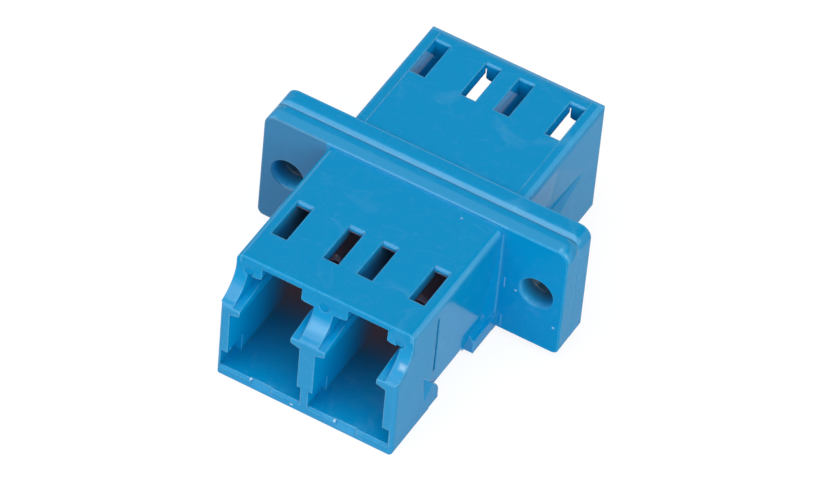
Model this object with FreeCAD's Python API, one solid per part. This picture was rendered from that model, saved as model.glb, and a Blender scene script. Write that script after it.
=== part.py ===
# Duplex fibre optic coupler with a two-hole panel flange.
# All sizes are in millimetres. X runs across the two ports, Y runs along the
# fibres from the front mouths (minus) to the rear mouths (plus), Z is up, and
# the underside of the body lies on Z = 0. The seam between the two moulded
# halves is the plane Y = 0. The finished shapes move along Y at the end, so
# that the origin lies under the middle of the whole coupler.

import FreeCAD
import Part
import math
import os

V = FreeCAD.Vector

# Body, shared by both halves
BODY_W = 12.9
BODY_H = 9.54
BORDER_DROP = 0.09
REAR_BORDER_W = 0.85
REAR_BORDER_STEP = 0.05
BOTTOM_R = 0.12

# Flange
FLANGE_W = 22.36
FLANGE_LOW = 0.57
FLANGE_HIGH = 9.74
PLATE_T = 1.5
FLANGE_CORNER = 0.85
FLANGE_CORNER_LOW = 0.48
SEAM_BREAK = 0.06
SEAM_ROUND_RUN = 0.75
SEAM_ROUND_DROP = 0.36
HOLE_SPACING = 18.4
HOLE_Z = 5.19
HOLE_D = 2.4
HOLE_RIM = 0.05

# Lengths from the seam
FRONT_CHIN = 14.52
CHIN_LEAN = 0.12
CHIN_TOP_Z = 6.58
FRONT_ROOF = 12.7
FRONT_ROOF_LOW_Z = 8.57
REAR_END = 11.8
FRONT_CORNER_R = 0.36
FRONT_BOTTOM_R = 0.12
REAR_CORNER_R = 0.25
MIDDLE_SHIFT = (FRONT_CHIN - REAR_END) / 2.0

# Clip recess and upright groove on the side walls of the front half
RECESS_Y = 9.62
RECESS_TOP_Z = 8.79
RECESS_D = 0.27
RECESS_RUN_OUT = 1.5
GROOVE_W = 0.36
GROOVE_W_LOW = 0.74
GROOVE_D = 0.12
ROOT_R = 0.13

# Port sockets
PORT_PITCH = 6.25
FLOOR_Z = 0.8
GUIDE_W = 5.12
SHELF_Z = 5.86
SHELF_TIP_Z = 6.08
RAIL_TOP_Z = 6.9
RAIL_FRONT_Z = 6.46
RAIL_GAP = 3.76
WING_W = 4.86
WING_TOP_Z = 8.12
CEILING_Z = 9.09
CEILING_RIB_Z = 8.56
BRACKET_GAP = 2.9
BRACKET_R = 0.12
BRACKET_RISE = 0.08
WEB_Y = 1.6
RELIEF_IN = 2.84
RELIEF_OUT = 3.06
RELIEF_TOP_Z = 2.3
RELIEF_DEPTH = 2.0
LIP_DROP = 0.17
LIP_RUN = 0.14
LIP_NOTCH_W = 1.48
LIP_NOTCH_DROP = 0.52

# Latch windows in the roof
WINDOW_W = 1.1
WINDOW_OFF = 1.89
FRONT_WINDOW = (6.78, 10.02)
REAR_WINDOW = (7.22, 10.55)
WINDOW_BREAK = 0.16

# Ferrule barrels and the ceramic split sleeves inside them
FIBRE_Z = 3.42
BARREL_D = 2.9
BARREL_TIP = 5.6
SLEEVE_OD = 1.62
SLEEVE_ID = 1.246
SLEEVE_L = 6.8
SLEEVE_SLIT = 0.3
SLEEVE_BORE_D = 1.62
POCKET_L = 3.5
LIP_HOLE_D = 1.42


def box(x0, x1, y0, y1, z0, z1):
    return Part.makeBox(x1 - x0, y1 - y0, z1 - z0, V(x0, y0, z0))


def cyl_y(x, z, d, y0, y1):
    return Part.makeCylinder(d / 2.0, y1 - y0, V(x, y0, z), V(0, 1, 0))


def cone_y(x, z, d0, d1, y0, y1):
    return Part.makeCone(d0 / 2.0, d1 / 2.0, y1 - y0, V(x, y0, z), V(0, 1, 0))


def prism_y(points, y0, y1):
    # A closed outline of (x, z) points, pushed along Y from y0 to y1.
    loop = [V(x, y0, z) for x, z in points]
    face = Part.Face(Part.makePolygon(loop + [loop[0]]))
    return face.extrude(V(0, y1 - y0, 0))


def prism_x(points, x0, x1):
    # A closed outline of (y, z) points, pushed along X from x0 to x1.
    loop = [V(x0, y, z) for y, z in points]
    face = Part.Face(Part.makePolygon(loop + [loop[0]]))
    return face.extrude(V(x1 - x0, 0, 0))


def prism_z(points, z0, z1):
    # A closed outline of (x, y) points, pushed along Z from z0 to z1.
    loop = [V(x, y, z0) for x, y in points]
    face = Part.Face(Part.makePolygon(loop + [loop[0]]))
    return face.extrude(V(0, 0, z1 - z0))


def arc_points(cy, cz, r, a0, a1, steps):
    out = []
    for i in range(steps + 1):
        a = math.radians(a0 + (a1 - a0) * i / steps)
        out.append((cy + r * math.cos(a), cz + r * math.sin(a)))
    return out


def mirror_x(shape):
    return shape.mirror(V(0, 0, 0), V(1, 0, 0))


def mirror_y(shape):
    return shape.mirror(V(0, 0, 0), V(0, 1, 0))


def both_sides(shape):
    return [shape, mirror_x(shape)]


def front_border_cut():
    # The roof of the front half rolls over along both long edges.
    h = BODY_W / 2.0
    top = BODY_H
    pts = [
        (h - 0.45, top + 1.0),
        (h - 0.45, top),
        (h - 0.3, top - 0.04),
        (h - 0.12, top - 0.13),
        (h - 0.03, top - 0.27),
        (h, top - 0.49),
        (h + 1.0, top - 0.49),
        (h + 1.0, top + 1.0),
    ]
    return both_sides(prism_y(pts, -FRONT_CHIN - 1.0, 0.0))


def rear_border_cut():
    # The rear half has a slightly lower border along both long edges, then
    # a broken edge, which is the double line seen along the real part.
    h = BODY_W / 2.0
    low = BODY_H - BORDER_DROP
    pts = [
        (h - REAR_BORDER_W, BODY_H + 1.0),
        (h - REAR_BORDER_W, BODY_H),
        (h - REAR_BORDER_W + 0.05, BODY_H - REAR_BORDER_STEP),
        (h - 0.3, low),
        (h - 0.12, low - 0.06),
        (h - 0.03, low - 0.2),
        (h, low - 0.42),
        (h + 1.0, low - 0.42),
        (h + 1.0, BODY_H + 1.0),
    ]
    return both_sides(prism_y(pts, 0.0, REAR_END + 1.0))


def bottom_edge_cut(y0, y1, r):
    h = BODY_W / 2.0
    pts = arc_points(h - r, r, r, -90, 0, 4)
    pts = [(h + 1.0, -1.0), (h - r, -1.0)] + pts + [(h + 1.0, r)]
    return both_sides(prism_y(pts, y0, y1))


def slope_points(steps):
    # Concave slope from the chin's top up to the roof's front face, as a
    # curve that is pulled towards the corner between them.
    a = (-FRONT_CHIN + 0.18, CHIN_TOP_Z)
    pull = (-FRONT_ROOF - 0.1, CHIN_TOP_Z + 0.62)
    b = (-FRONT_ROOF, FRONT_ROOF_LOW_Z)
    out = []
    for i in range(steps + 1):
        t = i / steps
        out.append(tuple((1 - t) ** 2 * a[k] + 2 * t * (1 - t) * pull[k] + t * t * b[k]
                         for k in (0, 1)))
    return out


def front_profile():
    # Side view of the front half: the roof is set back, a concave slope
    # runs down and forward from it to the chin, and the chin leans a little.
    top = BODY_H
    low = -FRONT_CHIN + CHIN_LEAN
    r = FRONT_BOTTOM_R
    pts = [(0.0, 0.0)]
    pts += arc_points(low + r, r, r, -90, -180, 4)
    pts += [(-FRONT_CHIN, CHIN_TOP_Z - 0.22), (-FRONT_CHIN + 0.05, CHIN_TOP_Z - 0.09)]
    pts += slope_points(12)
    pts += [(-FRONT_ROOF, top - 0.12)]
    pts += [(-FRONT_ROOF + 0.05, top - 0.03), (-FRONT_ROOF + 0.13, top)]
    pts += [(0.0, top)]
    return pts


def rear_profile():
    top = BODY_H
    return [
        (0.0, 0.0),
        (REAR_END - 0.25, 0.0),
        (REAR_END - 0.07, 0.07),
        (REAR_END, 0.25),
        (REAR_END, top - 0.45),
        (REAR_END - 0.05, top - 0.22),
        (REAR_END - 0.2, top - BORDER_DROP),
        (REAR_END - 0.62, top),
        (0.0, top),
    ]


def plate(front):
    # One flange plate with rounded corners. The meeting edges at the seam
    # are broken so that the joint shows as a line.
    h = FLANGE_W / 2.0
    z0 = FLANGE_LOW
    z1 = FLANGE_HIGH
    body = box(-h, h, 0.0, PLATE_T, z0, z1)
    for z, radius in ((z1, FLANGE_CORNER), (z0, FLANGE_CORNER_LOW)):
        edges = []
        for e in body.Edges:
            a = e.Vertexes[0].Point
            b = e.Vertexes[1].Point
            along = abs(a.x - b.x) < 1e-6 and abs(a.z - b.z) < 1e-6
            if along and abs(a.x) > h - 1e-6 and abs(a.z - z) < 1e-6:
                edges.append(e)
        body = body.makeFillet(radius, edges)
    seam = [f for f in body.Faces if abs(f.CenterOfMass.y) < 1e-6][0]
    body = body.makeChamfer(SEAM_BREAK, seam.Edges)
    outer = [f for f in body.Faces if abs(f.CenterOfMass.y - PLATE_T) < 1e-6][0]
    body = body.makeChamfer(0.08 if front else 0.03, outer.Edges)
    if front:
        return mirror_y(body)
    return body.cut(seam_round())


def seam_round():
    # The rear plate's top rolls down towards the seam in a flat quarter oval.
    run = SEAM_ROUND_RUN
    drop = SEAM_ROUND_DROP
    top = FLANGE_HIGH
    pts = [(-1.0, top + 1.0), (-1.0, top - drop)]
    for i in range(9):
        a = math.radians(90.0 * i / 8)
        pts.append((run - run * math.cos(a), top - drop + drop * math.sin(a)))
    pts.append((run, top + 1.0))
    return prism_x(pts, -FLANGE_W, FLANGE_W)


def mount_holes(front):
    out = []
    face = PLATE_T
    for s in (-1, 1):
        x = s * HOLE_SPACING / 2.0
        out.append(cyl_y(x, HOLE_Z, HOLE_D, -4.0, 4.0))
        rim = cone_y(x, HOLE_Z, HOLE_D, HOLE_D + 4 * HOLE_RIM, face - HOLE_RIM,
                     face + HOLE_RIM)
        out.append(mirror_y(rim) if front else rim)
    return out


def port_outline(cx):
    # Cross-section of a socket: plug space, then the two rails that carry
    # the latch, then the wider space for the latch wings.
    g = GUIDE_W / 2.0
    r = RAIL_GAP / 2.0
    w = WING_W / 2.0
    half = [
        (g, FLOOR_Z),
        (g, SHELF_Z),
        (r + 0.06, SHELF_TIP_Z - 0.04),
        (r, SHELF_TIP_Z + 0.05),
        (r, RAIL_TOP_Z - 0.05),
        (r + 0.05, RAIL_TOP_Z),
        (w, RAIL_TOP_Z + 0.05),
        (w, CEILING_Z),
    ]
    right = [(cx + x, z) for x, z in half]
    left = [(cx - x, z) for x, z in reversed(half)]
    return right + left


def bracket(cx, side, y0, y1):
    # The catch block that hangs from the roof at each side of a mouth. The
    # latch wing passes under it and rises behind it.
    g = BRACKET_GAP / 2.0
    w = WING_W / 2.0 + 0.2
    r = BRACKET_R
    z = WING_TOP_Z
    pts = [(w, CEILING_Z + 0.1), (w, z), (g + r + 0.15, z + 0.03)]
    pts += arc_points(g + r, z + r + BRACKET_RISE, r, -90, -180, 4)
    pts += [(g, CEILING_Z + 0.1)]
    pts = [(cx + side * x, y) for x, y in pts]
    return prism_y(pts, y0, y1)


def socket(cx, mouth, window_end):
    # Space of one socket, seen from a mouth at minus Y.
    cut = prism_y(port_outline(cx), -mouth - 1.0, -WEB_Y)
    for side in (-1, 1):
        cut = cut.cut(bracket(cx, side, -mouth - 2.0, -window_end))
    w = WINDOW_OFF - WINDOW_W / 2.0
    rib = box(cx - w, cx + w, -window_end - 0.1, 0.0, CEILING_RIB_Z, BODY_H)
    return cut.cut(rib)


def rail_slope(cx):
    # The rails fall gently towards the chin.
    w = WING_W / 2.0
    z = RAIL_TOP_Z
    pts = [(-FRONT_CHIN - 1.0, RAIL_FRONT_Z - 0.16), (-11.9, z + 0.01), (-11.9, z + 0.4),
           (-FRONT_CHIN - 1.0, z + 0.4)]
    return prism_x(pts, cx - w, cx + w)


def relief_span(cx):
    # The pocket reaches further towards the outer wall than towards the web.
    if cx < 0:
        return cx - RELIEF_OUT, cx + RELIEF_IN
    return cx - RELIEF_IN, cx + RELIEF_OUT


def relief(cx):
    # Wider pocket low in the mouth of a front socket.
    x0, x1 = relief_span(cx)
    return box(x0, x1, -FRONT_CHIN - 1.0, -FRONT_CHIN + RELIEF_DEPTH, FLOOR_Z, RELIEF_TOP_Z)


def lip_cut(cx, mouth, span):
    # Bevel on the floor's front edge, with a small notch in the middle of
    # the mouth that has a steep sloping bottom.
    x0, x1 = span
    z = FLOOR_Z
    y = -mouth
    pts = [(y - 1.0, z - LIP_DROP), (y, z - LIP_DROP), (y + LIP_RUN, z + 0.001),
           (y + LIP_RUN, z + 0.4), (y - 1.0, z + 0.4)]
    bevel = prism_x(pts, x0, x1)
    n = LIP_NOTCH_W / 2.0
    low = z - LIP_NOTCH_DROP
    pts = [(y - 1.0, low), (y, low), (y + LIP_RUN + 0.06, z - 0.09),
           (y + LIP_RUN + 0.06, z + 0.4), (y - 1.0, z + 0.4)]
    notch = prism_x(pts, cx - n, cx + n)
    return [bevel, notch]


def pin_marks():
    # Shallow round marks on the roof's front face, left by ejector pins.
    out = []
    for x in (-5.5, 0.0, 5.5):
        y = -FRONT_ROOF
        out.append(cyl_y(x, 8.42, 0.7, y - 1.0, y + 0.035))
    return out


def windows(near, far, bevel_at):
    # Four latch windows through the roof. The edge at one end is bevelled.
    out = []
    for cx in (-PORT_PITCH / 2.0, PORT_PITCH / 2.0):
        for side in (-1, 1):
            x = cx + side * WINDOW_OFF
            x0 = x - WINDOW_W / 2.0
            x1 = x + WINDOW_W / 2.0
            out.append(box(x0, x1, -far, -near, CEILING_Z - 0.3, BODY_H + 1.0))
            b = WINDOW_BREAK
            z = BODY_H
            if bevel_at == "near":
                pts = [(-near - 0.1, z - b - 0.1), (-near + b + 0.3, z + 0.3),
                       (-near - 0.1, z + 0.3)]
            else:
                b = 0.7 * b
                pts = [(-far + 0.1, z - b - 0.1), (-far - b - 0.3, z + 0.3),
                       (-far + 0.1, z + 0.3)]
            out.append(prism_x(pts, x0, x1))
            e = 0.05
            pts = [(x0 - e - 0.3, z + 0.3), (x0 + 0.02, z - e - 0.02),
                   (x1 - 0.02, z - e - 0.02), (x1 + e + 0.3, z + 0.3)]
            out.append(prism_y(pts, -far, -near))
    return out


def side_recess():
    # Clip recess on each side wall of the front half: shallow at the roof,
    # deeper below, with the lower corner cut away. The wall swells back to
    # its full width just before the flange.
    h = BODY_W / 2.0
    top = RECESS_TOP_Z
    pts = [(h, top), (h - RECESS_D, 1.52), (h - 0.9, -0.1), (h + 1.0, -0.1), (h + 1.0, top)]
    recess = prism_y(pts, -RECESS_Y, 0.0)
    start = -PLATE_T - ROOT_R
    low = h - 2.0 * RECESS_D
    swell = prism_z([(h + 2.0, 1.0), (h + 2.0, start), (h, start),
                     (low, start - 2.0 * RECESS_RUN_OUT), (low, 1.0)], -1.0, BODY_H)
    return recess.cut(swell)


def side_groove():
    # Upright groove at the recess's front end, from below the roof's edge
    # down to the pocket above the foot. It widens as the recess deepens.
    h = BODY_W / 2.0
    rings = []
    for z, wide in ((8.3, GROOVE_W), (3.0, GROOVE_W_LOW)):
        deep = h - GROOVE_D - RECESS_D * (RECESS_TOP_Z - z) / (RECESS_TOP_Z - 1.52)
        y = -RECESS_Y
        ring = [V(h + 1.0, y, z), V(deep, y, z), V(deep, y + wide, z), V(h + 1.0, y + wide, z)]
        rings.append(Part.makePolygon(ring + [ring[0]]))
    return Part.makeLoft(rings, True, True)


def front_corner_cut():
    # Rounded upright corners at the front of the chin, which lean as it does.
    h = BODY_W / 2.0
    r = FRONT_CORNER_R
    y = -FRONT_CHIN + CHIN_LEAN
    pts = arc_points(h - r, y + r, r, 0, -90, 4)
    pts += [(h - r, y - 1.0), (h + 1.0, y - 1.0), (h + 1.0, y + r)]
    loop = [V(a, b, 0.0) for a, b in pts]
    face = Part.Face(Part.makePolygon(loop + [loop[0]]))
    return both_sides(face.extrude(V(0.0, -CHIN_LEAN, CHIN_TOP_Z)))


def side_foot():
    # Small foot at the lower rear corner of the collar, in side view.
    h = BODY_W / 2.0
    pts = [(-10.0, 0.0), (-8.6, 0.0), (-8.5, 0.1), (-8.52, 0.95), (-8.62, 1.3),
           (-8.82, 1.66), (-9.12, 2.05), (-10.0, 2.99)]
    foot = prism_x(pts, h - 0.7, h)
    corner = prism_y([(h - 0.3, -0.1), (h + 0.1, -0.1), (h + 0.1, 0.3)], -11.0, -8.0)
    return foot.cut(corner)


def tetra(a, b, c, d):
    faces = []
    for tri in ((a, b, c), (a, b, d), (a, c, d), (b, c, d)):
        loop = [V(*p) for p in tri]
        faces.append(Part.Face(Part.makePolygon(loop + [loop[0]])))
    return Part.Solid(Part.Shell(faces))


def foot_pocket():
    # Three sided pocket above the foot, deepest along its front edge.
    h = BODY_W / 2.0
    out = h + 0.02
    return tetra((out, -10.82, 3.94), (out, -9.2, 2.3), (out, -10.4, 1.2),
                 (h - 0.42, -10.78, 3.84))


def root_fillet():
    # Hollow rounding where each side wall meets the flange's front face.
    x = BODY_W / 2.0
    y = -PLATE_T
    pts = arc_points(x + ROOT_R, y - ROOT_R, ROOT_R, 180, 90, 4)
    pts += [(x + ROOT_R, y + 0.3), (x - 0.3, y + 0.3), (x - 0.3, y - ROOT_R)]
    return prism_z(pts, FLANGE_LOW + 0.3, BODY_H - 0.5)


def side_lug():
    # Raised foot beside the flange, level with the flange's underside.
    h = BODY_W / 2.0
    z0 = FLANGE_LOW
    pts = [(h - 0.8, z0), (h + 0.16, z0), (h + 0.16, z0 + 1.05), (h - 0.1, z0 + 1.2),
           (h - 0.26, z0 + 1.5), (h - 0.8, z0 + 1.5)]
    return prism_y(pts, -4.37, -0.5)


def front_outer():
    h = BODY_W / 2.0
    body = prism_x(front_profile(), -h, h)
    body = body.cut(bottom_edge_cut(-FRONT_CHIN - 1.0, 0.0, BOTTOM_R))
    body = body.cut(front_border_cut())
    body = body.cut(front_corner_cut())
    body = body.cut(both_sides(side_recess()))
    body = body.cut(both_sides(side_groove()))
    body = body.fuse(both_sides(side_foot()) + both_sides(side_lug()) + both_sides(root_fillet()))
    body = body.cut(both_sides(foot_pocket()))
    return body.removeSplitter()


def barrel(cx):
    # Barrel that holds half of a split sleeve, seen from a mouth at minus Y.
    r = BARREL_D
    tube = cyl_y(cx, FIBRE_Z, r, -BARREL_TIP + 0.25, -WEB_Y + 0.3)
    nose = cone_y(cx, FIBRE_Z, r - 0.5, r, -BARREL_TIP, -BARREL_TIP + 0.25)
    return tube.fuse(nose)


def barrel_bore(cx):
    bore = cyl_y(cx, FIBRE_Z, SLEEVE_BORE_D, -POCKET_L, 1.0)
    lip = cyl_y(cx, FIBRE_Z, LIP_HOLE_D, -BARREL_TIP - 1.0, 0.0)
    lead = cone_y(cx, FIBRE_Z, LIP_HOLE_D + 0.7, LIP_HOLE_D, -BARREL_TIP, -BARREL_TIP + 0.35)
    return [bore, lip, lead]


def front_housing():
    body = front_outer()
    ports = (-PORT_PITCH / 2.0, PORT_PITCH / 2.0)
    cuts = []
    for cx in ports:
        cuts.append(socket(cx, FRONT_CHIN, FRONT_WINDOW[1]))
        cuts.append(relief(cx))
        cuts.append(rail_slope(cx))
        cuts += lip_cut(cx, FRONT_CHIN - CHIN_LEAN, relief_span(cx))
    cuts += windows(FRONT_WINDOW[0], FRONT_WINDOW[1], "near")
    cuts += pin_marks()
    body = body.cut(cuts)
    body = body.fuse([plate(True)] + [barrel(cx) for cx in ports])
    body = body.cut(mount_holes(True))
    bores = []
    for cx in ports:
        bores += barrel_bore(cx)
    body = body.cut(bores)
    return body.removeSplitter()


def rear_side_taper():
    # Shallow recess in the side wall above a sloping ledge. It starts near
    # the mouth and deepens towards the flange.
    h = BODY_W / 2.0
    top = (h, 5.6, 8.8)
    deep = (h - 0.46, 5.6, 4.05)
    low = (h, 5.6, 3.2)
    start = (h, 9.8, 5.17)
    wedge = tetra(top, deep, low, start)
    run = prism_y([(p[0], p[2]) for p in (top, deep, low)], 0.5, 5.6)
    return [wedge, run]


def rear_corner_cut():
    # Rounded upright corners at the rear mouth.
    h = BODY_W / 2.0
    r = REAR_CORNER_R
    pts = arc_points(h - r, REAR_END - r, r, 0, 90, 4)
    pts = pts + [(h - r, REAR_END + 1.0), (h + 1.0, REAR_END + 1.0), (h + 1.0, REAR_END - r)]
    return both_sides(prism_z(pts, -1.0, BODY_H + 1.0))


def rear_outer():
    h = BODY_W / 2.0
    body = prism_x(rear_profile(), -h, h)
    body = body.cut(bottom_edge_cut(0.0, REAR_END + 1.0, 0.3))
    body = body.cut(rear_border_cut())
    body = body.cut(rear_corner_cut())
    for tool in rear_side_taper():
        body = body.cut(both_sides(tool))
    return body


def rear_housing():
    body = rear_outer()
    ports = (-PORT_PITCH / 2.0, PORT_PITCH / 2.0)
    cuts = []
    for cx in ports:
        cuts.append(mirror_y(socket(cx, REAR_END, REAR_WINDOW[1])))
        span = (cx - GUIDE_W / 2.0, cx + GUIDE_W / 2.0)
        cuts += [mirror_y(c) for c in lip_cut(cx, REAR_END, span)]
    cuts += [mirror_y(w) for w in windows(REAR_WINDOW[0], REAR_WINDOW[1], "far")]
    body = body.cut(cuts)
    body = body.fuse([plate(False)] + [mirror_y(barrel(cx)) for cx in ports])
    body = body.cut(mount_holes(False))
    bores = []
    for cx in ports:
        bores += [mirror_y(b) for b in barrel_bore(cx)]
    body = body.cut(bores)
    return body.removeSplitter()


def split_sleeve(cx):
    half = SLEEVE_L / 2.0
    tube = cyl_y(cx, FIBRE_Z, SLEEVE_OD, -half, half)
    tube = tube.cut(cyl_y(cx, FIBRE_Z, SLEEVE_ID, -half - 1.0, half + 1.0))
    slit = box(cx - SLEEVE_SLIT / 2.0, cx + SLEEVE_SLIT / 2.0,
               -half - 1.0, half + 1.0, FIBRE_Z, FIBRE_Z + 2.0)
    return tube.cut(slit)


def main():
    os.makedirs("parts", exist_ok=True)
    parts = {
        "front_housing": front_housing(),
        "rear_housing": rear_housing(),
        "sleeve_left": split_sleeve(-PORT_PITCH / 2.0),
        "sleeve_right": split_sleeve(PORT_PITCH / 2.0),
    }
    for name, shape in parts.items():
        shape.translate(V(0.0, MIDDLE_SHIFT, 0.0))
        print(name, shape.isValid(), len(shape.Solids), round(shape.Volume, 3),
              len(shape.Faces))
        shape.exportStep("parts/" + name + ".step")


main()
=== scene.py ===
import bpy
import math
from collections import namedtuple
from mathutils import Matrix, Vector


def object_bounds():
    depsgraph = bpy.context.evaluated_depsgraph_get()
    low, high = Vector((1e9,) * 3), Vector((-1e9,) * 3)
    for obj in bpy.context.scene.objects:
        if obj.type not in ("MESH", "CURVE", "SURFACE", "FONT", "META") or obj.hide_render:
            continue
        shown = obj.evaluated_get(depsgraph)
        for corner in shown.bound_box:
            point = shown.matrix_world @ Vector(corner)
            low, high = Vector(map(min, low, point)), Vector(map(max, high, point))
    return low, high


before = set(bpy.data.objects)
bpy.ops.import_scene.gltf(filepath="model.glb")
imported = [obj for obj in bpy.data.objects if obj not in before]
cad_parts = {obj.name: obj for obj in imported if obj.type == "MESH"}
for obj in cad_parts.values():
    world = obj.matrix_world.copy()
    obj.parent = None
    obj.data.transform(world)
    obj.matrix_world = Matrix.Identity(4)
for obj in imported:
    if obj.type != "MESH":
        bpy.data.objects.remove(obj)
cad_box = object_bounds()
scene = bpy.context.scene

# Places on the coupler in millimetres. X is across, Y runs from the front mouths to
# the rear ones and Z is up. The outer faces come from the frame's box.
MOUTH_Y = round(1000.0 * cad_box[1][1], 2)
FLANGE_TOP_Z = round(1000.0 * cad_box[1][2], 2)
FLANGE_SEAM_Z = FLANGE_TOP_Z - 0.04
FLANGE_FACE_Y = -0.14
EAR_X = 9.0
LIP_Y = -13.04
ROOF_RIM_Z = 9.3
SLOPE_Y = -12.0
SLOPE_Z = 7.2
PORT_WALL_X = 5.72
ROOF_INNER_Z = 9.2
FLOOR_INNER_Z = 0.75
FLOOR_TOP_Z = 1.1
HOLE_X = 9.2
HOLE_Z = 5.19
HOLE_R = 1.3
GROOVE_Y = (-8.27, -7.48)
GROOVE_Z = (2.5, 8.4)
GROOVE_INNER_X = 5.92
RECESS_X = 6.084
RECESS_LEAN = 0.0371

# The block that is cleared beside each lug. Its inner side leans in under the wall.
TRIM_Y = (-3.32, -0.142)
TRIM_TOP_Z = 0.569
TRIM_LOW_Z = -0.1
TRIM_WALL_X = 5.811
TRIM_LOW_X = 5.55
TRIM_OUT_X = 6.9

# How far in from a mouth the painted shade on its floor and its walls begins and ends, in millimetres.
FLOOR_SHADE_IN = (0.8, 4.5)
BLUE_SHADE_IN = (3.0, 9.5)
BROWN_SHADE_IN = (5.6, 9.0)
MOUTH_MARGIN = 0.1
HIGH_WALL_Z = (4.0, 5.5)
HOLE_SHADE_Y = (0.0, 1.5)

# Colours are linear.
BLUE = (0.0006, 0.297, 0.620, 1.0)
BLUE_MILKY = (0.045, 0.345, 0.66, 1.0)
BLUE_EDGE_HIGHLIGHT = (0.14, 0.54, 0.84, 1.0)
BLUE_CREASE_SHADE = (0.0, 0.16, 0.36, 1.0)
BLUE_PORT_WALL_LIT = (0.0, 0.36, 0.74, 1.0)
BLUE_DEEP_SHADE = (0.035, 0.12, 0.19, 1.0)
BROWN_DEEP_SHADE = (0.30, 0.20, 0.24, 1.0)
DUST = (0.35, 0.62, 0.82, 1.0)
BORDER_HIGHLIGHT = (0.10, 0.46, 0.80, 1.0)
FLASH_AND_GLINT = (0.60, 0.80, 0.95, 1.0)
CERAMIC = (0.86, 0.84, 0.78, 1.0)
CERAMIC_WARM = (0.78, 0.74, 0.66, 1.0)
FLOOR_SEEN = (0.22, 0.22, 0.22, 1.0)
WHITE = (1.0, 1.0, 1.0, 1.0)

# How strongly each pattern of the blue plastic and each painted shade on it shows.
CLOUD_AMOUNT = 0.8
STREAK_AMOUNT = 0.45
FLOW_LINE_AMOUNT = 0.18
MOTTLE_AMOUNT = 0.22
CREASE_SHADE_AMOUNT = 0.8
PORT_FLOOR_SHADE_AMOUNT = 0.2
GROOVE_SHADE_AMOUNT = 0.3
DUST_AMOUNT = 0.7
DUSTY_CELLS_ABOVE = 0.86

# The surfaces. Lengths are in metres, and a sideways face has most of its normal across.
PLASTIC_IOR = 1.5
PLASTIC_ROUGHNESS = (0.10, 0.16)
MILKY_ROUGHNESS = 0.12
PLASTIC_GLOSS = (0.5, 0.04)
CERAMIC_IOR = 2.1
CERAMIC_ROUGHNESS = (0.16, 0.3)
EDGE_RADIUS = 0.00013
CREASE_REACH = 0.00035
SHADE_SAMPLES = 6
SIDEWAYS_NORMAL = 0.7
WAVE_DEPTH = 0.00006
WAVE_STRENGTH = 0.22
GRAIN_SHARE = 0.05
RING_DEPTH = 0.00002
RING_STRENGTH = 0.15

# The floor and the studio. Sizes are in metres.
FLOOR_SIZE = 3.0
FLOOR_DROP = 0.00002
FLOOR_GLOW = 0.86
WALL_FADE = (0.35, 0.66)
CEILING_SHINE = 0.04
FILL_LIGHT = 0.1
LAMP_TARGET = (0.0, 0.0, 0.005)
LAMP_DISTANCE = 1.2
LAMP_SIZE = 0.8
LAMPS = (
    ("above", (0.0, 0.0, 1.0), 3.1),
    ("left_high", (-0.8, -0.2, 0.6), 3.4),
    ("right_high", (0.8, -0.2, 0.6), 4.5),
    ("front_right_low", (0.5, -0.8, 0.4), 5.54),
    ("front_top", (-0.3, -0.56, 0.75), 4.26),
    ("back_top", (-0.3, 0.616, 0.728), 0.3),
)

# The photo's camera: its place in metres, its angles in degrees and its lens in millimetres.
CAMERA_AT = (0.153395, -0.314511, 0.375918)
CAMERA_AZIMUTH = -63.987
CAMERA_ELEVATION = 46.7057
CAMERA_ROLL = 5.871
CAMERA_LENS = 351.22
CAMERA_SENSOR = 36.0
CAMERA_CLIP = (0.01, 20.0)

# A mark is a painted highlight, a painted shade or a speck of flash on a moulded half, and a dull place
# has less gloss.
# Each is the middle and the half size of a box in millimetres, and how soft its rim is.
Mark = namedtuple("Mark", "middle half soft color strength")
Dull = namedtuple("Dull", "middle half soft amount")

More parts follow.
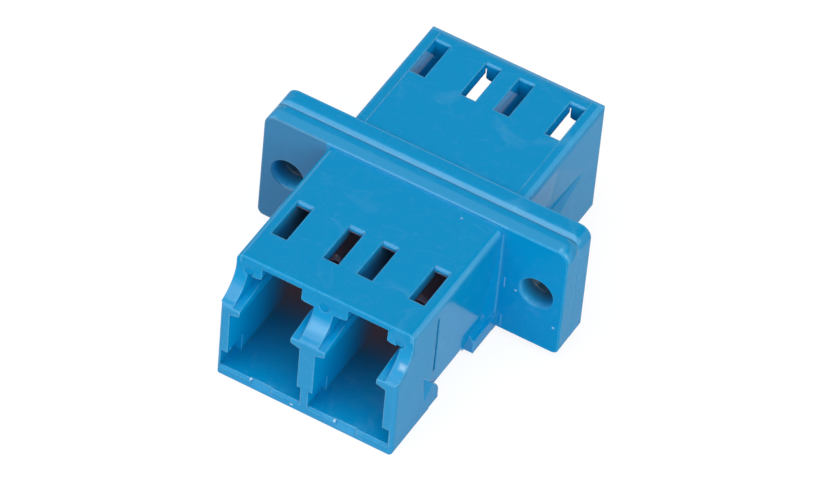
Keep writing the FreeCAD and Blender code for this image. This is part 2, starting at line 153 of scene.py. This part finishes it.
FRONT_MARKS = (
    # Painted highlights on the roof's two side borders and the flange's top, and painted shade along the
    # flange's seam.
    Mark((6.3, -5.9, ROOF_RIM_Z), (0.13, 5.5, 0.4), 0.05, BORDER_HIGHLIGHT, 0.55),
    Mark((-6.15, -5.9, ROOF_RIM_Z), (0.08, 5.5, 0.4), 0.05, BORDER_HIGHLIGHT, 0.4),
    Mark((0.0, 0.2, FLANGE_TOP_Z), (11.2, 0.52, 0.06), 0.12, (0.05, 0.37, 0.70, 1.0), 0.8),
    Mark((0.0, 1.26, FLANGE_SEAM_Z), (11.2, 0.06, 0.2), 0.03, (0.0, 0.17, 0.40, 1.0), 0.6),
    # The lit bends of the right slope and of the divider's slope.
    Mark((6.15, SLOPE_Y, SLOPE_Z), (0.2, 0.12, 0.18), 0.14, (0.42, 0.66, 0.86, 1.0), 0.7),
    Mark((0.1, SLOPE_Y, SLOPE_Z), (0.7, 0.3, 0.35), 0.2, (0.14, 0.48, 0.80, 1.0), 0.5),
    # The left ear's front face, which is turned away from the light.
    Mark((-EAR_X, -0.16, 5.2), (2.4, 0.12, 4.6), 0.05, (0.05, 0.11, 0.20, 1.0), 0.4),
    # Painted highlights along thin lines, and specks of flash, on the right ear's front face.
    Mark((6.93, FLANGE_FACE_Y, 4.9), (0.035, 0.1, 0.45), 0.03, (0.30, 0.60, 0.85, 1.0), 0.6),
    Mark((7.77, FLANGE_FACE_Y, 4.63), (0.06, 0.1, 0.06), 0.05, FLASH_AND_GLINT, 0.8),
    Mark((10.67, FLANGE_FACE_Y, 2.86), (0.06, 0.1, 0.06), 0.05, FLASH_AND_GLINT, 0.8),
    Mark((6.96, FLANGE_FACE_Y, 1.35), (0.04, 0.1, 0.5), 0.04, (0.20, 0.50, 0.80, 1.0), 0.5),
    # Painted glints at the ends of the floor lips' notches.
    Mark((-3.92, LIP_Y, 0.77), (0.06, 0.2, 0.05), 0.06, FLASH_AND_GLINT, 0.9),
    Mark((-0.85, LIP_Y, 0.38), (0.08, 0.2, 0.05), 0.06, FLASH_AND_GLINT, 0.9),
    Mark((2.26, LIP_Y, 0.71), (0.06, 0.2, 0.06), 0.06, FLASH_AND_GLINT, 0.9),
)
REAR_MARKS = (
    # Painted highlights on the roof's right border, the flange's edge at the seam, the roof's foot and its
    # rear edge.
    Mark((6.22, 7.2, ROOF_RIM_Z), (0.14, 5.6, 0.4), 0.05, BORDER_HIGHLIGHT, 0.55),
    Mark((0.0, 1.62, FLANGE_SEAM_Z), (11.2, 0.17, 0.3), 0.08, (0.13, 0.50, 0.82, 1.0), 0.5),
    Mark((0.0, 2.85, FLANGE_SEAM_Z), (11.2, 0.12, 0.2), 0.08, (0.06, 0.40, 0.74, 1.0), 0.5),
    Mark((0.0, 12.86, ROOF_RIM_Z), (6.4, 0.13, 0.4), 0.06, (0.12, 0.46, 0.78, 1.0), 0.5),
)
DULL_PLACES = (
    Dull((0.0, SLOPE_Y, 8.6), (6.6, 0.9, 1.0), 0.15, 0.7),
    Dull((9.2, -0.16, 5.2), (2.4, 0.12, 4.7), 0.05, 0.9),
    Dull((6.2, 5.0, 7.0), (0.4, 1.2, 1.2), 1.6, 0.6),
    Dull((6.1, -12.3, 7.0), (0.5, 0.4, 0.5), 0.2, 0.5),
    Dull((-6.4, -5.9, ROOF_RIM_Z), (0.16, 5.5, 0.5), 0.05, 0.8),
)


class Tree:
    """Short names for building the nodes of a material or a world."""

    def __init__(self, owner):
        self.owner = owner
        owner.use_nodes = True
        self.nodes = owner.node_tree.nodes
        self.links = owner.node_tree.links
        self.nodes.clear()

    def add(self, kind, **values):
        n = self.nodes.new(kind)
        for key, value in values.items():
            setattr(n, key, value)
        return n

    def link(self, a, b):
        self.links.new(a, b)

    def feed(self, socket, value):
        """Sets a socket's own number or colour, or links another node's output to it."""
        if isinstance(value, (int, float, tuple)):
            socket.default_value = value
        else:
            self.link(value, socket)

    def math(self, op, a, b=0.0, clamp=False):
        n = self.add("ShaderNodeMath", operation=op, use_clamp=clamp)
        self.feed(n.inputs[0], a)
        self.feed(n.inputs[1], b)
        return n.outputs[0]

    def vector_math(self, op, a, b=None):
        n = self.add("ShaderNodeVectorMath", operation=op)
        self.feed(n.inputs[0], a)
        if b is not None:
            self.feed(n.inputs[1], b)
        return n.outputs["Value" if op == "DOT_PRODUCT" else "Vector"]

    def ramp(self, value, low, high, out_low=0.0, out_high=1.0):
        n = self.add("ShaderNodeMapRange", interpolation_type="SMOOTHSTEP")
        for socket, v in zip(n.inputs, (value, low, high, out_low, out_high)):
            self.feed(socket, v)
        return n.outputs[0]

    def both(self, a, b):
        return self.math("MULTIPLY", a, b)

    def left_over(self, value):
        return self.math("SUBTRACT", 1.0, value)

    def between(self, value, span):
        return self.both(self.math("GREATER_THAN", value, span[0]), self.math("LESS_THAN", value, span[1]))

    def mix(self, factor, a, b):
        """Mixes two colours."""
        n = self.add("ShaderNodeMix", data_type="RGBA")
        for i, v in ((0, factor), (6, a), (7, b)):
            self.feed(n.inputs[i], v)
        return n.outputs[2]

    def choose(self, factor, a, b):
        """Mixes two numbers."""
        n = self.add("ShaderNodeMix")
        for i, v in ((0, factor), (2, a), (3, b)):
            self.feed(n.inputs[i], v)
        return n.outputs[0]

    def noise(self, coords, scale, detail=2.0, rough=0.5, distortion=0.0):
        n = self.add("ShaderNodeTexNoise")
        self.link(coords, n.inputs["Vector"])
        names = ("Scale", "Detail", "Roughness", "Distortion")
        for name, v in zip(names, (scale, detail, rough, distortion)):
            n.inputs[name].default_value = v
        return n.outputs["Fac"]

    def parts(self, vector):
        n = self.add("ShaderNodeSeparateXYZ")
        self.link(vector, n.inputs[0])
        return n.outputs

    def bump(self, height, strength, distance, normal=None):
        n = self.add("ShaderNodeBump")
        n.inputs["Strength"].default_value = strength
        n.inputs["Distance"].default_value = distance
        self.link(height, n.inputs["Height"])
        if normal is not None:
            self.link(normal, n.inputs["Normal"])
        return n.outputs["Normal"]

    def millimetres(self, shift=(0.0, 0.0, 0.0), stretch=(1.0, 1.0, 1.0)):
        m = self.add("ShaderNodeMapping")
        m.inputs["Location"].default_value = shift
        m.inputs["Scale"].default_value = [1000.0 * s for s in stretch]
        self.link(self.add("ShaderNodeTexCoord").outputs["Object"], m.inputs["Vector"])
        return m.outputs["Vector"]

    def camera_or_mirrored(self):
        """1 for what the camera sees directly, in reflections or through glass."""
        path = self.add("ShaderNodeLightPath")
        seen = self.math("MAXIMUM", path.outputs["Is Camera Ray"], path.outputs["Is Glossy Ray"])
        return self.math("MAXIMUM", seen, path.outputs["Is Transmission Ray"])

    def glossy(self, ior, **values):
        """A Principled shader on the material's output. Each value is named after its socket."""
        shader = self.add("ShaderNodeBsdfPrincipled")
        shader.inputs["IOR"].default_value = ior
        for key, v in values.items():
            self.link(v, shader.inputs[key.replace("_", " ")])
        self.output("ShaderNodeOutputMaterial", shader.outputs[0])

    def output(self, kind, surface):
        self.link(surface, self.add(kind).inputs["Surface"])


def port_light_and_shade(t, color, place):
    """Paints light on the thin port walls and paints shade in the ports' depths."""
    across = t.math("ABSOLUTE", place[0])
    along = t.math("ABSOLUTE", place[1])
    high = place[2]

    def depth(span, full=1.0):
        return t.ramp(along, MOUTH_Y - span[0], MOUTH_Y - span[1], 0.0, full)

    inside = t.both(t.math("LESS_THAN", across, PORT_WALL_X), t.math("LESS_THAN", high, ROOF_INNER_Z))
    inside = t.both(inside, t.math("LESS_THAN", along, MOUTH_Y - MOUTH_MARGIN))
    facing = t.parts(t.add("ShaderNodeNewGeometry").outputs["True Normal"])
    sideways = t.math("GREATER_THAN", t.math("ABSOLUTE", facing[0]), SIDEWAYS_NORMAL)
    wall = t.both(t.both(inside, sideways), t.math("GREATER_THAN", high, FLOOR_TOP_Z))
    # Painted light on the thin port walls.
    color = t.mix(wall, color, BLUE_PORT_WALL_LIT)

    inside = t.both(inside, t.math("GREATER_THAN", high, FLOOR_INNER_Z))
    floor = t.both(inside, t.math("LESS_THAN", high, FLOOR_TOP_Z))
    # Painted shade on the port floors, then on all inner faces deeper in.
    color = t.mix(t.both(floor, depth(FLOOR_SHADE_IN, PORT_FLOOR_SHADE_AMOUNT)), color, BLUE_DEEP_SHADE)
    color = t.mix(t.both(inside, depth(BLUE_SHADE_IN)), color, BLUE_DEEP_SHADE)
    # Brown painted shade deepest in, kept off the high side walls.
    high_wall = t.both(sideways, t.ramp(high, *HIGH_WALL_Z))
    brown_shade = t.both(depth(BROWN_SHADE_IN), t.left_over(high_wall))
    return t.mix(t.both(inside, brown_shade), color, BROWN_DEEP_SHADE)


def hole_and_groove_shade(t, color, place):
    """Paints shade in the mounting holes towards the back and in the grooves in the side walls."""
    across = t.math("ABSOLUTE", place[0])
    high = place[2]
    off_x = t.math("SUBTRACT", across, HOLE_X)
    off_z = t.math("SUBTRACT", high, HOLE_Z)
    off = t.math("ADD", t.both(off_x, off_x), t.both(off_z, off_z))
    in_hole = t.math("LESS_THAN", off, HOLE_R ** 2)
    color = t.mix(t.both(in_hole, t.ramp(place[1], *HOLE_SHADE_Y)), color, BLUE_DEEP_SHADE)

    in_groove = t.both(t.between(place[1], GROOVE_Y), t.between(high, GROOVE_Z))
    recess_x = t.math("ADD", t.both(high, RECESS_LEAN), RECESS_X)
    in_groove = t.both(in_groove, t.math("LESS_THAN", across, recess_x))
    in_groove = t.both(in_groove, t.math("GREATER_THAN", across, GROOVE_INNER_X))
    return t.mix(t.both(in_groove, GROOVE_SHADE_AMOUNT), color, BLUE_CREASE_SHADE)


def near_box(t, mm, box):
    """1 inside a mark's or a dull place's box, fading to 0 across its rim."""
    away = t.vector_math("ABSOLUTE", t.vector_math("SUBTRACT", mm, box.middle))
    over = t.parts(t.vector_math("SUBTRACT", away, box.half))
    widest = t.math("MAXIMUM", t.math("MAXIMUM", over[0], over[1]), over[2])
    return t.ramp(widest, box.soft, -box.soft)


def add_marks(t, color, marks):
    mm = t.millimetres()
    for mark in marks:
        color = t.mix(t.both(near_box(t, mm, mark), mark.strength), color, mark.color)
    return color


def milky_flow(t, mm, shift):
    """Broad milky clouds that follow the melt's flow, thin curved flow lines and fine mottle."""
    cloud = t.ramp(t.noise(mm, 0.22, 3.0, 0.55, 1.4), 0.56, 0.80)
    streak_space = t.millimetres(shift, (0.35, 0.9, 0.6))
    streak = t.ramp(t.noise(streak_space, 0.75, 4.0, 0.6, 2.4), 0.60, 0.78)
    line = t.math("ABSOLUTE", t.math("SUBTRACT", t.noise(mm, 0.16, 1.0, 0.4, 0.8), 0.52))
    line = t.ramp(line, 0.006, 0.0)
    mottle = t.ramp(t.noise(mm, 1.3, 5.0, 0.7, 0.5), 0.48, 0.72)
    milky = t.math("ADD", t.both(cloud, CLOUD_AMOUNT), t.both(streak, STREAK_AMOUNT))
    milky = t.math("ADD", milky, t.both(line, FLOW_LINE_AMOUNT), clamp=True)
    return t.math("ADD", milky, t.both(mottle, MOTTLE_AMOUNT), clamp=True)


def edge_highlight_and_shade(t, color, mm):
    """Paints highlights on outer edges and paints shade in creases. Gives the rounded normal and the
    colour.
    """
    bevel = t.add("ShaderNodeBevel", samples=SHADE_SAMPLES)
    bevel.inputs["Radius"].default_value = EDGE_RADIUS
    flat_normal = t.add("ShaderNodeNewGeometry").outputs["True Normal"]
    turned = t.left_over(t.vector_math("DOT_PRODUCT", bevel.outputs["Normal"], flat_normal))
    edge = t.ramp(turned, 0.01, 0.12)

    cavity = t.add("ShaderNodeAmbientOcclusion", samples=SHADE_SAMPLES)
    cavity.inputs["Distance"].default_value = CREASE_REACH
    open_air = cavity.outputs["AO"]
    # Painted highlight on outer edges, made uneven along them by noise.
    outer_edge = t.both(edge, t.ramp(open_air, 0.72, 0.92))
    uneven_highlight = t.ramp(t.noise(mm, 2.2, 3.0, 0.6), 0.38, 0.62, 0.55, 1.0)
    color = t.mix(t.both(outer_edge, uneven_highlight), color, BLUE_EDGE_HIGHLIGHT)
    # Painted shade in creases, where the short occlusion test finds cover.
    crease_shade = t.ramp(open_air, 0.50, 0.2, 0.0, CREASE_SHADE_AMOUNT)
    return bevel.outputs["Normal"], t.mix(crease_shade, color, BLUE_CREASE_SHADE)


def dust_specks(t, color, mm):
    """A few tiny pale specks, one in some of a pattern's cells."""
    cell = t.add("ShaderNodeTexVoronoi")
    t.link(mm, cell.inputs["Vector"])
    cell.inputs["Scale"].default_value = 0.42
    near = t.ramp(cell.outputs["Distance"], 0.065, 0.03)
    pick = t.add("ShaderNodeSeparateColor")
    t.link(cell.outputs["Color"], pick.inputs[0])
    speck = t.both(near, t.math("GREATER_THAN", pick.outputs[0], DUSTY_CELLS_ABOVE))
    return t.mix(t.both(speck, DUST_AMOUNT), color, DUST)


def gloss_level(t):
    """Less gloss on faces seen at a slant, and in the dull places."""
    weight = t.add("ShaderNodeLayerWeight")
    gloss = t.ramp(weight.outputs["Facing"], 0.15, 0.60, *PLASTIC_GLOSS)
    mm = t.millimetres()
    for dull in DULL_PLACES:
        gloss = t.both(gloss, t.left_over(t.both(near_box(t, mm, dull), dull.amount)))
    return gloss


def moulded_blue(name, shift, marks):
    """Glossy moulded polymer with flow marks, pale swirls, dust specks and soft edges, and with painted
    highlights and painted shade.
    """
    t = Tree(bpy.data.materials.new(name))
    mm = t.millimetres(shift)
    place = t.parts(t.millimetres())

    milky = milky_flow(t, mm, shift)
    normal, color = edge_highlight_and_shade(t, t.mix(milky, BLUE, BLUE_MILKY), mm)
    color = port_light_and_shade(t, color, place)
    color = hole_and_groove_shade(t, color, place)
    color = add_marks(t, color, marks)
    color = dust_specks(t, color, mm)

    # Roughness and height change a little with the clouds and with a fine grain.
    grain = t.noise(mm, 9.0, 2.0, 0.6)
    rough = t.math("ADD", t.ramp(grain, 0.3, 0.7, *PLASTIC_ROUGHNESS), t.both(milky, MILKY_ROUGHNESS))
    wave = t.noise(mm, 0.55, 2.0, 0.5, 0.6)
    height = t.math("ADD", wave, t.both(grain, GRAIN_SHARE))
    normal = t.bump(height, WAVE_STRENGTH, WAVE_DEPTH, normal)
    gloss = gloss_level(t)
    t.glossy(PLASTIC_IOR, Base_Color=color, Roughness=rough, Normal=normal, Specular_IOR_Level=gloss)
    return t.owner


def ground_ceramic(name, shift):
    """White zirconia with fine grinding rings round the tube."""
    t = Tree(bpy.data.materials.new(name))
    ring = t.noise(t.millimetres(shift, (0.15, 6.0, 0.15)), 1.2, 2.0, 0.6)
    tone = t.noise(t.millimetres(shift), 0.8, 3.0, 0.5)
    color = t.mix(t.ramp(tone, 0.35, 0.75), CERAMIC, CERAMIC_WARM)
    rough = t.ramp(ring, 0.3, 0.7, *CERAMIC_ROUGHNESS)
    normal = t.bump(ring, RING_STRENGTH, RING_DEPTH)
    t.glossy(CERAMIC_IOR, Base_Color=color, Roughness=rough, Normal=normal)
    return t.owner


def floor_material():
    """Pale floor: white to the camera and in reflections, with the object's shadow kept."""
    t = Tree(bpy.data.materials.new("floor"))
    tone = t.ramp(t.noise(t.millimetres(), 0.02, 2.0, 0.5), 0.3, 0.7, 0.78, 0.82)
    gray = t.add("ShaderNodeCombineColor")
    for socket in gray.inputs:
        t.link(tone, socket)
    lighting = t.add("ShaderNodeBsdfDiffuse")
    t.link(gray.outputs[0], lighting.inputs["Color"])

    seen = t.add("ShaderNodeBsdfDiffuse")
    seen.inputs["Color"].default_value = FLOOR_SEEN
    glow = t.add("ShaderNodeEmission")
    glow.inputs["Strength"].default_value = FLOOR_GLOW
    shown = t.add("ShaderNodeAddShader")
    t.link(seen.outputs[0], shown.inputs[0])
    t.link(glow.outputs[0], shown.inputs[1])

    mix = t.add("ShaderNodeMixShader")
    for socket, v in zip(mix.inputs, (t.camera_or_mirrored(), lighting.outputs[0], shown.outputs[0])):
        t.link(v, socket)
    t.output("ShaderNodeOutputMaterial", mix.outputs[0])
    return t.owner


def paint(node, mat):
    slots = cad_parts[node].data.materials
    slots.clear()
    slots.append(mat)


def trim_feet():
    """Clears the low corner beside each lug, where the side wall's recess ends in a thin fin."""
    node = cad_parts["front_housing"]
    outline = [
        (TRIM_WALL_X, TRIM_TOP_Z),
        (TRIM_LOW_X, TRIM_LOW_Z),
        (TRIM_OUT_X, TRIM_LOW_Z),
        (TRIM_OUT_X, TRIM_TOP_Z),
    ]
    left_faces = [(3, 2, 1, 0), (4, 5, 6, 7), (0, 1, 5, 4), (1, 2, 6, 5), (2, 3, 7, 6), (3, 0, 4, 7)]
    right_faces = [tuple(reversed(f)) for f in left_faces]
    for side, faces in ((-1.0, left_faces), (1.0, right_faces)):
        corners = [Vector((side * x, y, z)) / 1000.0 for y in TRIM_Y for x, z in outline]
        mesh = bpy.data.meshes.new("foot_trim")
        mesh.from_pydata(corners, [], faces)
        cutter = bpy.data.objects.new("foot_trim", mesh)
        scene.collection.objects.link(cutter)
        cutter.hide_render = True
        trim = node.modifiers.new("foot_trim", "BOOLEAN")
        trim.operation = "DIFFERENCE"
        trim.solver = "EXACT"
        trim.use_hole_tolerant = True
        trim.object = cutter


def add_floor():
    corners = [(x * FLOOR_SIZE, y * FLOOR_SIZE, 0.0) for x, y in ((-1, -1), (1, -1), (1, 1), (-1, 1))]
    mesh = bpy.data.meshes.new("floor")
    mesh.from_pydata(corners, [], [(0, 1, 2, 3)])
    mesh.materials.append(floor_material())
    floor = bpy.data.objects.new("floor", mesh)
    scene.collection.objects.link(floor)
    floor.location = (0.0, 0.0, -FLOOR_DROP)


def add_lamp(name, direction, power):
    """A soft square lamp that looks at the object from a direction."""
    data = bpy.data.lights.new(name, "AREA")
    data.shape = "RECTANGLE"
    data.size = LAMP_SIZE
    data.size_y = LAMP_SIZE
    data.energy = power
    lamp = bpy.data.objects.new(name, data)
    scene.collection.objects.link(lamp)
    way = Vector(direction).normalized()
    lamp.location = Vector(LAMP_TARGET) + way * LAMP_DISTANCE
    lamp.rotation_euler = way.to_track_quat("Z", "Y").to_euler()


def add_world():
    """White to the camera. Reflections see bright walls and a dark ceiling, and the fill is dim."""
    t = Tree(bpy.data.worlds.new("studio"))
    direction = t.parts(t.add("ShaderNodeTexCoord").outputs["Generated"])
    wall = t.ramp(direction[2], *WALL_FADE, 1.0, CEILING_SHINE)
    path = t.add("ShaderNodeLightPath")
    mirrored = t.math("MAXIMUM", path.outputs["Is Glossy Ray"], path.outputs["Is Transmission Ray"])
    strength = t.choose(mirrored, FILL_LIGHT, wall)
    back = t.add("ShaderNodeBackground")
    back.inputs["Color"].default_value = WHITE
    t.link(t.choose(path.outputs["Is Camera Ray"], strength, 1.0), back.inputs["Strength"])
    t.output("ShaderNodeOutputWorld", back.outputs[0])
    scene.world = t.owner


def add_camera():
    data = bpy.data.cameras.new("photo_camera")
    data.sensor_width = CAMERA_SENSOR
    data.sensor_fit = "HORIZONTAL"
    data.lens = CAMERA_LENS
    data.clip_start, data.clip_end = CAMERA_CLIP
    cam = bpy.data.objects.new("photo_camera", data)
    scene.collection.objects.link(cam)
    azimuth, elevation, roll = map(math.radians, (CAMERA_AZIMUTH, CAMERA_ELEVATION, CAMERA_ROLL))
    flat = math.cos(elevation)
    back = Vector((flat * math.cos(azimuth), flat * math.sin(azimuth), math.sin(elevation)))
    turn = back.to_track_quat("Z", "Y").to_matrix() @ Matrix.Rotation(roll, 3, "Z")
    cam.matrix_world = Matrix.Translation(CAMERA_AT) @ turn.to_4x4()
    scene.camera = cam


paint("front_housing", moulded_blue("housing_front_blue", (3.1, 8.2, 1.7), FRONT_MARKS))
paint("rear_housing", moulded_blue("housing_rear_blue", (11.4, -6.3, 4.9), REAR_MARKS))
paint("sleeve_left", ground_ceramic("sleeve_left_white", (0.4, 2.0, 0.0)))
paint("sleeve_right", ground_ceramic("sleeve_right_white", (5.4, 7.0, 1.0)))

trim_feet()
add_floor()
add_world()
for lamp_facts in LAMPS:
    add_lamp(*lamp_facts)
add_camera()
scene.view_settings.view_transform = "Standard"
